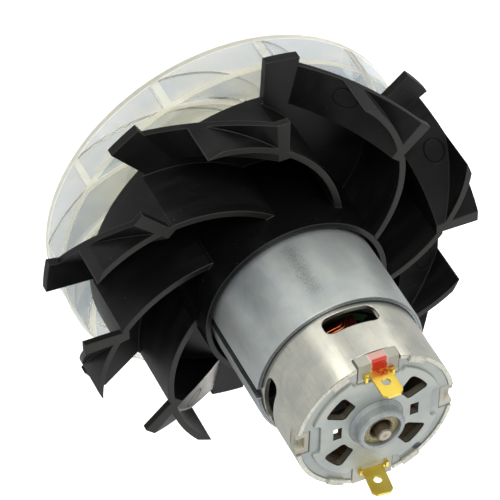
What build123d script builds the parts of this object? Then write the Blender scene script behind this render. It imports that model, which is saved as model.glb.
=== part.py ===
from build123d import *
import math
import os

# Vacuum motor unit, upright on the inlet lip of its impeller, in millimetres.
# The origin is on the motor axis at the lip. Z runs towards the terminals, X through
# the side notches of the motor can and Y through its two terminals.

# Motor can
can_radius = 17.9
brush_gear_length = 19.5
can_wall = 1.0
can_corner = 1.6
front_boss_radius = 6.5
front_boss_height = 4.5
front_boss_hole_radius = 4.4
front_vent_radius = 13.0
front_vent_width = 2.6
front_vent_length = 7.0
window_width = 12.1
window_height = 4.5
window_corner = 1.8
window_below_rim = 13.1
terminal_notch_width = 9.7
side_notch_width = 6.3
notch_depth = 2.8
crimp_width = 4.2
crimp_height = 0.5
crimp_reach = 1.5
crimp_angles = (60.0, 120.0, 240.0, 300.0)

# Flux ring
flux_ring_thickness = 1.15
flux_ring_overhang = 3.5
flux_ring_below_rim = 16.4
flux_ring_seam = 2.9
seam_angle = 0.6

# Rear end plate
plate_sheet = 1.2
plate_step = 0.6
plate_recess = 0.3
plate_step_margin = 2.2
rear_boss_radius = 5.3
rear_boss_height = 3.0
rear_boss_flare = 0.7
rear_boss_lip = 0.8
rear_boss_hole_radius = 4.15
vent_inner_radius = 7.9
vent_outer_radius = 12.9
vent_span = 28.0
vent_angle = 40.0
vent_corner = 0.9
small_vent_radius = 8.7
small_vent_depth = 1.9
small_vent_width = 3.3

# Bearings and shaft
shaft_radius = 1.5875
shaft_rear_reach = 1.25
shaft_front_reach = 1.0
running_clearance = 0.03
press_clearance = 0.01
bush_length = 3.6
rear_bush_pocket_radius = 4.45
bush_flare = 1.0
washer_radius = 2.9
washer_thickness = 0.5
end_play = 0.4

# Field magnets and their clips
magnet_thickness = 4.4
magnet_overhang = 1.0
magnet_front_gap = 7.5
magnet_span = 130.0
magnet_seat_gap = 0.05
clip_sheet = 0.6
clip_inset_share = 0.1

# Armature
air_gap = 0.5
core_length = 28.0
pole_count = 3
first_pole_angle = 43.0
pole_span = 104.0
pole_tip = 1.7
neck_width = 5.0
core_hub_radius = 4.6
insulator_thickness = 1.0
insulator_margin = 0.25
coil_width = 12.0
coil_end = 5.5
coil_corner = 3.4
coil_inner_radius = 5.0
coil_gap = 0.15
coil_bulge = 1.0

# Commutator
commutator_radius = 4.6
commutator_wall = 1.3
commutator_length = 8.4
commutator_slot = 0.45
commutator_flange = 0.9
hook_reach = 1.2
hook_width = 1.6
hook_sheet = 0.5

# Brushes and their spring arms
brush_width = 3.6
brush_height = 4.0
brush_length = 3.2
brush_gap = 0.06
arm_sheet = 0.4
arm_height = 3.0
arm_bend_radius = 2.6
arm_hinge_offset = 4.4
arm_hinge_gap = 0.12
strap_inset = 0.9

# Nylon brush carrier
carrier_thickness = 2.0
carrier_band = 3.6
carrier_clearance = 0.15
side_lug_reach = 0.15
tower_width = 9.0
tower_wall = 1.9
tower_recess = 0.1
brace_width = 2.6

# Terminals
terminal_radius = 14.8
terminal_width = 4.6
terminal_sheet = 0.6
terminal_height = 7.3
terminal_chamfer = 0.9
terminal_hole_radius = 0.95
terminal_hole_height = 3.4
terminal_lean = 7.0
shoulder_width = 6.6
shoulder_height = 0.5
ear_depth = 1.1
ear_height = 1.0

# Impeller
impeller_radius = 42.2
inlet_radius = 20.0
inlet_lip_height = 3.4
inlet_lip_wall = 1.4
shroud_rise = 3.5
shroud_thickness = 1.2
tip_passage = 7.6
impeller_plate_thickness = 1.2
impeller_vane_count = 11
impeller_vane_thickness = 1.2
impeller_vane_arc_radius = 30.0
impeller_vane_centre_radius = 18.93
impeller_vane_centre_angle = 39.0
vane_inner_radius = 17.0
vane_tip_inset = 0.1
weld_gap = 0.02
hub_nose_radius = 6.4
hub_base_radius = 14.0
hub_length = 8.2
bush_insert_radius = 4.0
bush_insert_nose = 0.8
bush_spigot_radius = 3.0

# Diffuser
impeller_gap = 3.1
floor_thickness = 2.0
motor_seat_height = 2.0
motor_seat_radius = 17.4
seat_hole_clearance = 0.3
drum_radius = 37.5
drum_wall = 1.5
guide_radius = 46.0
guide_height = 15.9
guide_count = 8
ramp_thickness = 1.5
landing_angle = 3.5
ramp_start_angle = 33.5
ramp_sections = 5
tab_end_angle = 42.7
tab_radius = 48.2
vane_thickness = 1.4
vane_arc_radius = 29.8
vane_centre_radius = 22.0
vane_centre_angle = 53.4
vane_outer_angle = 4.0
vane_inner_angle = -88.0
collar_gap = 0.8
collar_wall = 1.2
collar_height = 21.7

# Screws that hold the diffuser to the can
screw_radius = 1.5
screw_spacing = 25.0
screw_head_radius = 2.8
screw_head_height = 1.9
screw_reach = 1.2
screw_hole_clearance = 0.15
screw_head_clearance = 0.3
cross_slot_width = 0.6
cross_slot_length = 3.2
cross_slot_depth = 1.0

overrun = 1.0

# Lengths that follow from the armature core
magnet_length = core_length + 2 * magnet_overhang
flux_ring_length = magnet_length + 2 * flux_ring_overhang
can_length = magnet_front_gap + magnet_length + brush_gear_length

# Heights along the axis, from the inlet lip up
z_shroud_rim = inlet_lip_height + shroud_rise
z_shroud_inner_rim = z_shroud_rim + shroud_thickness
z_plate_front = z_shroud_inner_rim + tip_passage
z_plate_rear = z_plate_front + impeller_plate_thickness
z_floor_front = z_plate_rear + impeller_gap
z_floor_rear = z_floor_front + floor_thickness
z_guide_rear = z_floor_rear + guide_height
z_collar_rear = z_floor_rear + collar_height
z_can_front = z_floor_rear + motor_seat_height
z_can_inner_front = z_can_front + can_wall
z_can_rim = z_can_front + can_length
z_end_plate_rear = z_can_rim - plate_recess
z_end_plate_front = z_end_plate_rear - plate_sheet
z_step_rear = z_end_plate_rear + plate_step
z_rear_boss = z_step_rear + rear_boss_height
z_front_bush = z_can_front - front_boss_height + can_wall
z_rear_bush_end = z_rear_boss - rear_boss_lip
z_rear_bush = z_rear_bush_end - bush_length
z_carrier_front = z_end_plate_front - carrier_thickness
z_tower_rear = z_can_rim - tower_recess
z_window = z_can_rim - window_below_rim
z_magnet_front = z_can_front + magnet_front_gap
z_core_front = z_magnet_front + magnet_overhang
z_core_rear = z_core_front + core_length
z_washers = z_rear_bush - end_play - 2 * washer_thickness
z_commutator_front = z_washers - commutator_length
z_brush = z_commutator_front + commutator_flange + (commutator_length - commutator_flange) / 2
z_shaft_rear = z_rear_boss + shaft_rear_reach
z_insert_nose = z_plate_front - hub_length - bush_insert_nose
z_shaft_front = z_insert_nose - shaft_front_reach

# Radii that follow from the sizes above
can_bore = can_radius - can_wall
magnet_outer_radius = can_bore - magnet_seat_gap
magnet_inner_radius = magnet_outer_radius - magnet_thickness
core_radius = magnet_inner_radius - air_gap
flux_ring_inner = can_radius + press_clearance
flux_ring_outer = flux_ring_inner + flux_ring_thickness
collar_inner = flux_ring_outer + collar_gap
collar_outer = collar_inner + collar_wall
rear_bush_radius = rear_bush_pocket_radius - press_clearance
front_bush_radius = front_boss_radius - can_wall - press_clearance


def polar(radius, angle):
    """A point at a radius and an angle in degrees."""
    return (radius * math.cos(math.radians(angle)), radius * math.sin(math.radians(angle)))


def turned(shape, angle):
    """The shape turned about the motor axis."""
    return shape.rotate(Axis.Z, angle)


def raised(face, bottom, top):
    """A flat face drawn at height zero, made solid between two heights."""
    return Pos(0, 0, bottom) * extrude(face, amount=top - bottom, dir=(0, 0, 1))


def disc(radius, bottom, top):
    """A round plate on the axis."""
    return raised(Circle(radius), bottom, top)


def tube(inner, outer, bottom, top):
    """A ring on the axis."""
    return raised(Circle(outer) - Circle(inner), bottom, top)


def sector_face(inner, outer, start, end):
    """A flat piece of a ring between two radii and two angles."""
    middle = (start + end) / 2
    far = ThreePointArc(polar(outer, start), polar(outer, middle), polar(outer, end))
    near = ThreePointArc(polar(inner, end), polar(inner, middle), polar(inner, start))
    return make_face([far, Line(far @ 1, near @ 0), near, Line(near @ 1, far @ 0)])


def sector(inner, outer, start, end, bottom, top):
    """A solid piece of a ring."""
    return raised(sector_face(inner, outer, start, end), bottom, top)


def block(x0, x1, y0, y1, bottom, top):
    """A box between six planes."""
    middle = Pos((x0 + x1) / 2, (y0 + y1) / 2, (bottom + top) / 2)
    return middle * Box(x1 - x0, y1 - y0, top - bottom)


def turned_profile(points):
    """A closed outline of radius and height points, turned about the axis."""
    outline = Plane.XZ * make_face(Polyline(*points, close=True))
    return revolve(outline, Axis.Z)


def arc_band(centre_radius, centre_angle, arc_radius, thickness, start, end):
    """A flat curved strip round a centre off the axis, from one angle about it to another."""
    place = Pos(*polar(centre_radius, centre_angle))
    return place * sector_face(arc_radius - thickness / 2, arc_radius + thickness / 2, start, end)


def as_node(pieces):
    """Several solids that share one node."""
    return Compound(children=list(pieces)) if len(pieces) > 1 else pieces[0]


# Motor can

def rim_notches(bottom, margin):
    """The four cuts in the rim, two for the terminals and two at the sides."""
    cuts = []
    for angle, width in ((0, side_notch_width), (90, terminal_notch_width),
                         (180, side_notch_width), (270, terminal_notch_width)):
        cut = block(can_bore - margin, can_radius + overrun, -width / 2, width / 2,
                    bottom, z_can_rim + crimp_height + overrun)
        cuts.append(turned(cut, angle))
    return cuts


def make_motor_can():
    front = z_can_front
    nose = front - front_boss_height
    shell = turned_profile([
        (front_boss_hole_radius, nose), (front_boss_radius, nose), (front_boss_radius, front),
        (can_radius - can_corner, front), (can_radius, front + can_corner),
        (can_radius, z_can_rim), (can_bore, z_can_rim), (can_bore, front + can_corner),
        (can_bore - can_corner + can_wall / 2, z_can_inner_front),
        (front_boss_radius - can_wall, z_can_inner_front),
        (front_boss_radius - can_wall, nose + can_wall), (front_boss_hole_radius, nose + can_wall)])
    for angle in crimp_angles:
        half = math.degrees(crimp_width / can_radius) / 2
        shell += sector(can_bore - crimp_reach + can_wall, can_radius, angle - half, angle + half,
                        z_end_plate_rear + press_clearance, z_can_rim + crimp_height)
    opening = Plane.YZ * RectangleRounded(window_width, window_height, window_corner)
    window = Pos(can_bore - can_wall, 0, z_window) * extrude(opening, amount=can_wall * 4, dir=(1, 0, 0))
    for angle in (0, 90, 180, 270):
        shell -= turned(window, angle)
    for cut in rim_notches(z_can_rim - notch_depth, can_wall):
        shell -= cut
    vent = raised(SlotOverall(front_vent_length, front_vent_width), front - overrun, front + can_wall + overrun)
    hole = disc(screw_radius, front - overrun, z_can_inner_front + overrun)
    for side in (-1, 1):
        shell -= Pos(0, side * front_vent_radius, 0) * vent
        shell -= Pos(side * screw_spacing / 2, 0, 0) * hole
    return shell


def make_flux_ring():
    top = z_can_rim - flux_ring_below_rim
    ring = tube(flux_ring_inner, flux_ring_outer, top - flux_ring_length, top)
    seam = block(can_bore, flux_ring_outer + overrun, -flux_ring_seam / 2, flux_ring_seam / 2,
                 top - flux_ring_length - overrun, top + overrun)
    return ring - turned(seam, seam_angle)


def make_end_plate():
    radius = can_bore - press_clearance
    plate = disc(radius, z_end_plate_front, z_end_plate_rear)
    step = Circle(radius - plate_step_margin)
    for angle, width in ((0, side_notch_width), (90, terminal_notch_width),
                         (180, side_notch_width), (270, terminal_notch_width)):
        notch = RectangleRounded(plate_step_margin * 4, width + plate_step_margin, plate_step_margin / 2)
        step -= (Pos(radius, 0) * notch).rotate(Axis.Z, angle)
    plate += raised(step, z_end_plate_rear, z_step_rear)
    boss = turned_profile([
        (0, z_end_plate_rear), (rear_boss_radius + rear_boss_flare, z_end_plate_rear),
        (rear_boss_radius + rear_boss_flare, z_step_rear), (rear_boss_radius, z_step_rear + rear_boss_flare),
        (rear_boss_radius, z_rear_boss - rear_boss_flare / 2),
        (rear_boss_radius - rear_boss_flare / 2, z_rear_boss), (0, z_rear_boss)])
    plate += boss
    plate -= disc(rear_bush_pocket_radius, z_end_plate_front - overrun, z_rear_bush_end)
    plate -= disc(rear_boss_hole_radius, z_rear_bush_end - overrun, z_rear_boss + overrun)
    opening = sector_face(vent_inner_radius, vent_outer_radius, -vent_span / 2, vent_span / 2)
    opening = fillet(opening.vertices(), vent_corner)
    vent = raised(opening, z_end_plate_front - overrun, z_step_rear + overrun)
    for angle in (vent_angle, -vent_angle, 180 - vent_angle, 180 + vent_angle):
        plate -= turned(vent, angle)
    slot = block(small_vent_radius - small_vent_depth / 2, small_vent_radius + small_vent_depth / 2,
                 -small_vent_width / 2, small_vent_width / 2, z_end_plate_front - overrun, z_step_rear + overrun)
    for angle in (0, 180):
        plate -= turned(slot, angle)
    side = block(can_bore - plate_step_margin, can_bore + overrun, -side_notch_width / 2, side_notch_width / 2,
                 z_end_plate_front - overrun, z_step_rear + overrun)
    tower = block(terminal_radius - tower_wall - carrier_clearance, can_bore + overrun,
                  -tower_width / 2 - carrier_clearance, tower_width / 2 + carrier_clearance,
                  z_end_plate_front - overrun, z_step_rear + overrun)
    for angle in (0, 180):
        plate -= turned(side, angle)
        plate -= turned(tower, angle + 90)
    return plate


# Brush gear

def make_brush_carrier():
    outer = can_bore - carrier_clearance
    inner = outer - carrier_band
    ring = tube(inner, outer, z_carrier_front, z_end_plate_front)
    side = block(can_bore - plate_step_margin + carrier_clearance, can_radius - side_lug_reach,
                 -side_notch_width / 2 + carrier_clearance, side_notch_width / 2 - carrier_clearance,
                 z_can_rim - notch_depth + carrier_clearance, z_end_plate_rear - carrier_clearance)
    pocket = block(can_bore - plate_step_margin / 2, can_radius + overrun,
                   -side_notch_width / 4, side_notch_width / 4,
                   z_can_rim - notch_depth + can_wall, z_can_rim + overrun)
    for angle in (0, 180):
        ring += turned(side - pocket, angle)
    for angle in (90, 270):
        ring += turned(terminal_tower(), angle)
        ring -= turned(terminal_slot(), angle)
    return ring


def terminal_tower():
    """Nylon block round one terminal, along +X, that fills its notch in the rim."""
    inner = terminal_radius - tower_wall
    bottom = z_can_rim - notch_depth + carrier_clearance
    body = block(inner, can_radius - side_lug_reach, -tower_width / 2, tower_width / 2, bottom, z_tower_rear)
    foot = block(inner - brace_width, inner + tower_wall, -tower_width / 2, tower_width / 2,
                 z_carrier_front, z_end_plate_front)
    return body + foot


def terminal_slot():
    """The slot that the terminal's blade stands in, along +X."""
    half = terminal_sheet / 2 + press_clearance
    return block(terminal_radius - half, terminal_radius + half, -terminal_width / 2 - press_clearance,
                 terminal_width / 2 + press_clearance, z_carrier_front - overrun, z_tower_rear + overrun)


def make_terminal(lean):
    """One terminal along +X, its blade leaning sideways: blade and hole, shoulders, ears and strap."""
    foot = z_tower_rear + press_clearance
    top = z_can_rim + terminal_height
    half = terminal_width / 2
    low = z_brush - arm_height / 2
    outline = Polyline((-half, foot), (half, foot), (half, top - terminal_chamfer), (half - terminal_chamfer, top),
                       (-half + terminal_chamfer, top), (-half, top - terminal_chamfer), close=True)
    blade = make_face(outline) - Pos(0, z_can_rim + terminal_hole_height) * Circle(terminal_hole_radius)
    blade = Pos(0, foot) * Rot(0, 0, lean) * Pos(0, -foot) * blade
    shank_height = foot + shoulder_height / 2 - low
    blade += Pos(0, low + shank_height / 2) * Rectangle(terminal_width, shank_height)
    blade += Pos(0, foot + shoulder_height / 2) * Rectangle(shoulder_width, shoulder_height)
    face = Plane.YZ * blade
    terminal = Pos(terminal_radius - terminal_sheet / 2, 0, 0) * extrude(face, amount=terminal_sheet, dir=(1, 0, 0))
    for side in (-1, 1):
        edge = side * shoulder_width / 2
        ear = block(terminal_radius - terminal_sheet / 2 - ear_depth, terminal_radius,
                    min(edge, edge - side * terminal_sheet), max(edge, edge - side * terminal_sheet),
                    foot, foot + ear_height)
        terminal += ear
    strap_far = arm_hinge_offset - arm_hinge_gap
    inner = terminal_radius - terminal_sheet / 2 - strap_inset
    strap = block(inner, inner + arm_sheet, -half, strap_far, low, low + arm_height)
    bridge = block(inner, terminal_radius, -half, half, low, low + arm_height)
    return terminal + strap + bridge


def make_brush_arm():
    """The leaf spring of one brush: from the end of the strap round the bend to the brush's back."""
    inner = terminal_radius - terminal_sheet / 2 - strap_inset
    back = commutator_radius + brush_gap + brush_length + press_clearance
    turn_x = inner + arm_sheet - arm_bend_radius
    turn_y = back + arm_sheet - arm_bend_radius
    bend = Pos(turn_x, turn_y) * sector_face(arm_bend_radius - arm_sheet, arm_bend_radius, 0, 90)
    low = z_brush - arm_height / 2
    root = block(inner, inner + arm_sheet, arm_hinge_offset, turn_y, low, low + arm_height)
    blade = block(-brush_width / 2, turn_x, back, back + arm_sheet, low, low + arm_height)
    return raised(bend, low, low + arm_height) + root + blade


def make_brush():
    """Carbon block on the +Y side of the commutator, hollowed to ride on it."""
    face = commutator_radius + brush_gap
    brush = block(-brush_width / 2, brush_width / 2, math.sqrt(face ** 2 - brush_width ** 2 / 4), face + brush_length,
                  z_brush - brush_height / 2, z_brush + brush_height / 2)
    return brush - disc(face, z_brush - brush_height, z_brush + brush_height)


# Bearings, magnets and clips

def make_rear_bearing():
    bore = shaft_radius + running_clearance
    return turned_profile([
        (bore, z_rear_bush), (rear_bush_radius, z_rear_bush), (rear_bush_radius, z_rear_bush_end),
        (bore + bush_flare, z_rear_bush_end), (bore, z_rear_bush_end - bush_flare)])


def make_front_bearing():
    bore = shaft_radius + running_clearance
    return tube(bore, front_bush_radius, z_front_bush, z_front_bush + bush_length)


def make_magnet():
    half = magnet_span / 2
    return sector(magnet_inner_radius, magnet_outer_radius, -half, half, z_magnet_front,
                  z_magnet_front + magnet_length)


def make_magnet_clips():
    """Two sheet springs, bent to a U, that hold the magnets apart against the can."""
    inner = magnet_inner_radius + magnet_thickness * clip_inset_share
    reach = magnet_outer_radius
    half = math.radians(90 - magnet_span / 2)
    edge_low = magnet_outer_radius * math.sin(half) - magnet_thickness * clip_inset_share * 2
    back = math.sqrt(reach ** 2 - edge_low ** 2)
    outline = Polyline((inner, -edge_low), (back, -edge_low), (back, edge_low), (inner, edge_low),
                       (inner, edge_low - clip_sheet), (back - clip_sheet, edge_low - clip_sheet),
                       (back - clip_sheet, clip_sheet - edge_low), (inner, clip_sheet - edge_low), close=True)
    face = make_face(outline)
    sweep = sector_face(overrun, reach, math.degrees(-half), math.degrees(half))
    clip = raised(face & sweep, z_magnet_front + magnet_length / 4, z_magnet_front + magnet_length * 3 / 4)
    return as_node([turned(clip, 0), turned(clip, 180)])


# Rotor

def core_outline(margin):
    """The three-pole lamination, grown by a margin over its necks and shoes but not at its rim."""
    outline = Circle(core_hub_radius + margin)
    half = pole_span / 2
    shoe = sector_face(core_radius - pole_tip - margin, core_radius - margin, -half, half)
    neck = Pos(core_radius / 2, 0) * Rectangle(core_radius - pole_tip, neck_width + margin * 2)
    for k in range(pole_count):
        outline += (neck + shoe).rotate(Axis.Z, first_pole_angle + k * 360 / pole_count)
    return outline


def make_armature_core():
    return raised(core_outline(0) - Circle(shaft_radius + press_clearance), z_core_front, z_core_rear)


def make_core_insulator(bottom):
    outline = core_outline(insulator_margin) - Circle(shaft_radius + press_clearance)
    return raised(outline, bottom, bottom + insulator_thickness)


def make_winding(index):
    """One coil round its pole: packed wire with round ends, cut where the core and insulators are."""
    middle = (z_core_front + z_core_rear) / 2
    inner_height = core_length + 2 * insulator_thickness + 2 * coil_gap
    outer = RectangleRounded(coil_width, inner_height + 2 * coil_end, coil_corner)
    inner = Rectangle(neck_width + 2 * insulator_margin + 2 * coil_gap, inner_height)
    face = Plane.YZ * (outer - inner)
    start = coil_inner_radius + coil_gap
    coil = Pos(start, 0, middle) * extrude(face, amount=core_radius - start, dir=(1, 0, 0))
    coil &= disc(core_radius - coil_bulge, middle - core_length, middle + core_length)
    shoe = sector_face(core_radius - pole_tip - insulator_margin - coil_gap, core_radius, -pole_span / 2, pole_span / 2)
    coil -= raised(shoe, middle - inner_height / 2, middle + inner_height / 2)
    return turned(coil, first_pole_angle + index * 360 / pole_count)


def make_commutator_hub():
    bore = shaft_radius + press_clearance
    barrel = commutator_radius - commutator_wall
    foot = z_core_rear + insulator_thickness + coil_gap
    return turned_profile([
        (bore, foot), (barrel - commutator_wall / 2, foot), (barrel - commutator_wall / 2, z_commutator_front),
        (commutator_radius, z_commutator_front), (commutator_radius, z_commutator_front + commutator_flange),
        (barrel, z_commutator_front + commutator_flange), (barrel, z_washers), (bore, z_washers)])


def make_commutator_bars():
    """Three copper bars round the hub, each with the hook that its coil ends hang on."""
    bars = []
    low = z_commutator_front + commutator_flange + press_clearance
    half_gap = math.degrees(commutator_slot / commutator_radius) / 2
    half = 180 / pole_count - half_gap
    barrel = commutator_radius - commutator_wall + press_clearance
    for k in range(pole_count):
        bar = sector(barrel, commutator_radius, -half, half, low, z_washers)
        bar += block(commutator_radius - hook_sheet, commutator_radius + hook_reach,
                     -hook_width / 2, hook_width / 2, low, low + hook_sheet)
        bars.append(turned(bar, first_pole_angle + 180 / pole_count + k * 360 / pole_count))
    return as_node(bars)


def make_thrust_washers():
    """Two washers behind the commutator, one before the core's spacer and one on the impeller side."""
    bore = shaft_radius + running_clearance
    inner_front = z_front_bush + bush_length + press_clearance
    stack = [tube(bore, washer_radius, z_washers + press_clearance, z_washers + washer_thickness),
             tube(bore, washer_radius, z_washers + washer_thickness + press_clearance,
                  z_washers + 2 * washer_thickness),
             tube(bore, washer_radius, inner_front, inner_front + washer_thickness),
             tube(bore, washer_radius, z_front_bush - washer_thickness, z_front_bush - press_clearance)]
    return as_node(stack)


def make_shaft_spacer():
    low = z_front_bush + bush_length + washer_thickness + end_play
    high = z_core_front - insulator_thickness - press_clearance
    return tube(shaft_radius + press_clearance, washer_radius, low, high)


def make_motor_shaft():
    shaft = disc(shaft_radius, z_shaft_front, z_shaft_rear)
    return chamfer(shaft.edges().filter_by(GeomType.CIRCLE), shaft_radius / 6)


# Impeller

def impeller_vane_face():
    """One backward vane in plan: a circular arc from the inner ring out to the rim."""
    strip = arc_band(impeller_vane_centre_radius, impeller_vane_centre_angle, impeller_vane_arc_radius,
                     impeller_vane_thickness, -120, 0)
    return strip & (Circle(impeller_radius - vane_tip_inset) - Circle(vane_inner_radius))


def make_impeller_plate():
    """Rear disc, hub cone and vanes in one moulding, its vanes cut to the slope of the shroud."""
    plate = turned_profile([
        (bush_insert_radius, z_plate_rear), (impeller_radius, z_plate_rear), (impeller_radius, z_plate_front),
        (hub_base_radius, z_plate_front), (hub_nose_radius + bush_insert_nose, z_plate_front - hub_length * 0.55),
        (hub_nose_radius, z_plate_front - hub_length), (bush_insert_radius, z_plate_front - hub_length)])
    vane = raised(impeller_vane_face(), z_shroud_rim - shroud_rise, z_plate_front + impeller_plate_thickness / 2)
    below = turned_profile([
        (0, -overrun), (impeller_radius + overrun, -overrun), (impeller_radius + overrun, z_shroud_inner_rim + weld_gap),
        (impeller_radius, z_shroud_inner_rim + weld_gap),
        (inlet_radius, z_shroud_inner_rim - shroud_rise + weld_gap), (0, z_shroud_inner_rim - shroud_rise + weld_gap)])
    vane -= below
    for k in range(impeller_vane_count):
        plate += turned(vane, k * 360 / impeller_vane_count)
    return plate


def make_impeller_shroud():
    """Front disc: a shallow cone from the rim to the inlet, with the lip that stands forward of it."""
    lip_outer = inlet_radius + inlet_lip_wall
    return turned_profile([
        (inlet_radius, 0), (lip_outer, 0), (lip_outer, inlet_lip_height), (impeller_radius, z_shroud_rim),
        (impeller_radius, z_shroud_inner_rim), (inlet_radius, z_shroud_inner_rim - shroud_rise)])


def make_impeller_bush():
    """Brass insert that the clear hub is moulded on, with a spigot that bears on the front washer."""
    bore = shaft_radius + press_clearance
    outer = bush_insert_radius - press_clearance
    spigot_end = z_front_bush - washer_thickness - end_play
    return turned_profile([
        (bore, z_insert_nose), (outer, z_insert_nose), (outer, z_plate_rear),
        (bush_spigot_radius, z_plate_rear), (bush_spigot_radius, spigot_end), (bore, spigot_end)])


# Diffuser

def ramp_height(angle):
    """Height of a ramp's rear face, from the landing down to the floor."""
    share = (angle - landing_angle) / (ramp_start_angle - landing_angle)
    return z_guide_rear - guide_height * min(max(share, 0), 1)


def guide_section(angle):
    """Section of ramp and drum wall in the plane through the axis at one angle."""
    high = ramp_height(angle)
    inner = drum_radius - drum_wall
    outline = make_face(Polyline(
        (inner, z_floor_front), (drum_radius, z_floor_front), (drum_radius, high - ramp_thickness),
        (guide_radius, high - ramp_thickness), (guide_radius, high), (inner, high), close=True))
    return turned(Plane.XZ * outline, angle)


def above_section(angle):
    """Section of the space between a ramp and the height of the vanes."""
    low = ramp_height(angle) - ramp_thickness / 2
    outline = make_face(Polyline(
        (drum_radius - drum_wall / 2, low), (guide_radius + overrun, low),
        (guide_radius + overrun, z_guide_rear), (drum_radius - drum_wall / 2, z_guide_rear), close=True))
    return turned(Plane.XZ * outline, angle)


def ramp_angles():
    step = (ramp_start_angle - landing_angle) / (ramp_sections - 1)
    return [landing_angle + k * step for k in range(ramp_sections)]


def make_guide():
    """One ramp with its drum wall, landing, rim tab and arc vane."""
    ramp = loft([guide_section(angle) for angle in ramp_angles()])
    landing = revolve(guide_section(0), Axis.Z, landing_angle)
    tab = sector(drum_radius - drum_wall, tab_radius, ramp_start_angle, tab_end_angle, z_floor_front, z_floor_rear)
    sill = sector(drum_radius - drum_wall, drum_radius, tab_end_angle, 360 / guide_count,
                  z_floor_front, z_floor_rear)
    strip = arc_band(vane_centre_radius, vane_centre_angle, vane_arc_radius, vane_thickness,
                     vane_inner_angle, vane_outer_angle)
    inner_strip = strip & (Circle(drum_radius) - Circle(collar_outer - collar_wall / 2))
    outer_strip = strip & (Circle(guide_radius) - Circle(drum_radius - drum_wall / 2))
    inner_vane = raised(inner_strip, z_floor_front + floor_thickness / 2, z_guide_rear)
    above = loft([above_section(angle) for angle in ramp_angles()])
    outer_vane = raised(outer_strip, z_floor_front, z_guide_rear) & above
    return ramp + landing + tab + sill + inner_vane + outer_vane


def make_diffuser():
    body = disc(drum_radius - drum_wall / 2, z_floor_front, z_floor_rear)
    body += disc(motor_seat_radius, z_floor_rear - overrun, z_can_front)
    body += tube(collar_inner, collar_outer, z_floor_rear - overrun, z_collar_rear)
    guide = make_guide()
    body += [turned(guide, k * 360 / guide_count) for k in range(guide_count)]
    body -= disc(front_boss_radius + seat_hole_clearance, z_floor_front - overrun, z_can_front + overrun)
    hole = disc(screw_radius + screw_hole_clearance, z_floor_front - overrun, z_can_front + overrun)
    head = disc(screw_head_radius + screw_head_clearance, z_floor_front - overrun, z_floor_front + screw_head_height)
    for side in (-1, 1):
        body -= Pos(side * screw_spacing / 2, 0, 0) * (hole + head)
    return body


def make_diffuser_screws():
    screws = []
    seat = z_floor_front + screw_head_height
    slot = block(-cross_slot_length / 2, cross_slot_length / 2, -cross_slot_width / 2, cross_slot_width / 2,
                 seat - screw_head_height - overrun, seat - screw_head_height + cross_slot_depth)
    for side in (-1, 1):
        screw = disc(screw_head_radius, seat - screw_head_height, seat)
        screw += disc(screw_radius, seat, z_can_inner_front + screw_reach)
        screw -= slot + turned(slot, 90)
        screws.append(Pos(side * screw_spacing / 2, 0, 0) * screw)
    return as_node(screws)


def main():
    os.makedirs("parts", exist_ok=True)
    nodes = {
        "motor_can": make_motor_can(),
        "flux_ring": make_flux_ring(),
        "end_plate": make_end_plate(),
        "brush_carrier": make_brush_carrier(),
        "terminal_positive": turned(make_terminal(0), 270),
        "terminal_negative": turned(make_terminal(terminal_lean), 90),
        "brush_arm_positive": turned(make_brush_arm(), 270),
        "brush_arm_negative": turned(make_brush_arm(), 90),
        "brush_positive": turned(make_brush(), 270),
        "brush_negative": turned(make_brush(), 90),
        "rear_bearing": make_rear_bearing(),
        "front_bearing": make_front_bearing(),
        "field_magnet_north": turned(make_magnet(), 90),
        "field_magnet_south": turned(make_magnet(), 270),
        "magnet_clips": make_magnet_clips(),
        "armature_core": make_armature_core(),
        "core_insulator_front": make_core_insulator(z_core_front - insulator_thickness),
        "core_insulator_rear": make_core_insulator(z_core_rear),
        "winding_1": make_winding(0),
        "winding_2": make_winding(1),
        "winding_3": make_winding(2),
        "commutator_hub": make_commutator_hub(),
        "commutator_bars": make_commutator_bars(),
        "thrust_washers": make_thrust_washers(),
        "shaft_spacer": make_shaft_spacer(),
        "motor_shaft": make_motor_shaft(),
        "impeller_bush": make_impeller_bush(),
        "impeller_plate": make_impeller_plate(),
        "impeller_shroud": make_impeller_shroud(),
        "diffuser": make_diffuser(),
        "diffuser_screws": make_diffuser_screws(),
    }
    for name, shape in nodes.items():
        export_step(shape, f"parts/{name}.step")


main()
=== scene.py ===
import math

import bpy
import numpy as np
from mathutils import Matrix, Vector


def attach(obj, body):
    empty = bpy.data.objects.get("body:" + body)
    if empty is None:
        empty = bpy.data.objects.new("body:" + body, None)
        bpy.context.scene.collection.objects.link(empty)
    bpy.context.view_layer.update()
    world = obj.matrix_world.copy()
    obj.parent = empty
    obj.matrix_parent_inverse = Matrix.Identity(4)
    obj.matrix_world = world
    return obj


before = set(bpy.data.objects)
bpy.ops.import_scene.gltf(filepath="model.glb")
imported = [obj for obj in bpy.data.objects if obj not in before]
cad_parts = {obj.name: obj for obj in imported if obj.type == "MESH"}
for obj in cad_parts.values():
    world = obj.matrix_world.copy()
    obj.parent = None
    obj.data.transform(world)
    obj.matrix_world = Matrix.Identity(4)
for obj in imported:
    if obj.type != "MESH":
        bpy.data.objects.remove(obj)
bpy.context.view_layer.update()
mm = 0.001
degree = math.pi / 180.0

# In the values below, a pair says where a change of finish starts and where it is complete

# Heights on the motor axis, from the impeller's lip
shroud_rear = 8.2 * mm
plate_front = 15.6 * mm
guide_rear = 37.9 * mm
core_middle = 46.5 * mm
ring_rear = 64.6 * mm
carrier_rear = 79.7 * mm
plate_rear = 80.7 * mm
rim_height = 81.0 * mm

# Impeller
impeller_radius = 42.2 * mm
impeller_vanes = 11
vane_centre = 18.93 * mm
vane_centre_angle = 39.0 * degree
vane_arc = 30.0 * mm
vane_start = 17.0 * mm
blue_towards_rim = (31.0 * mm, 36.0 * mm)

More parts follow.
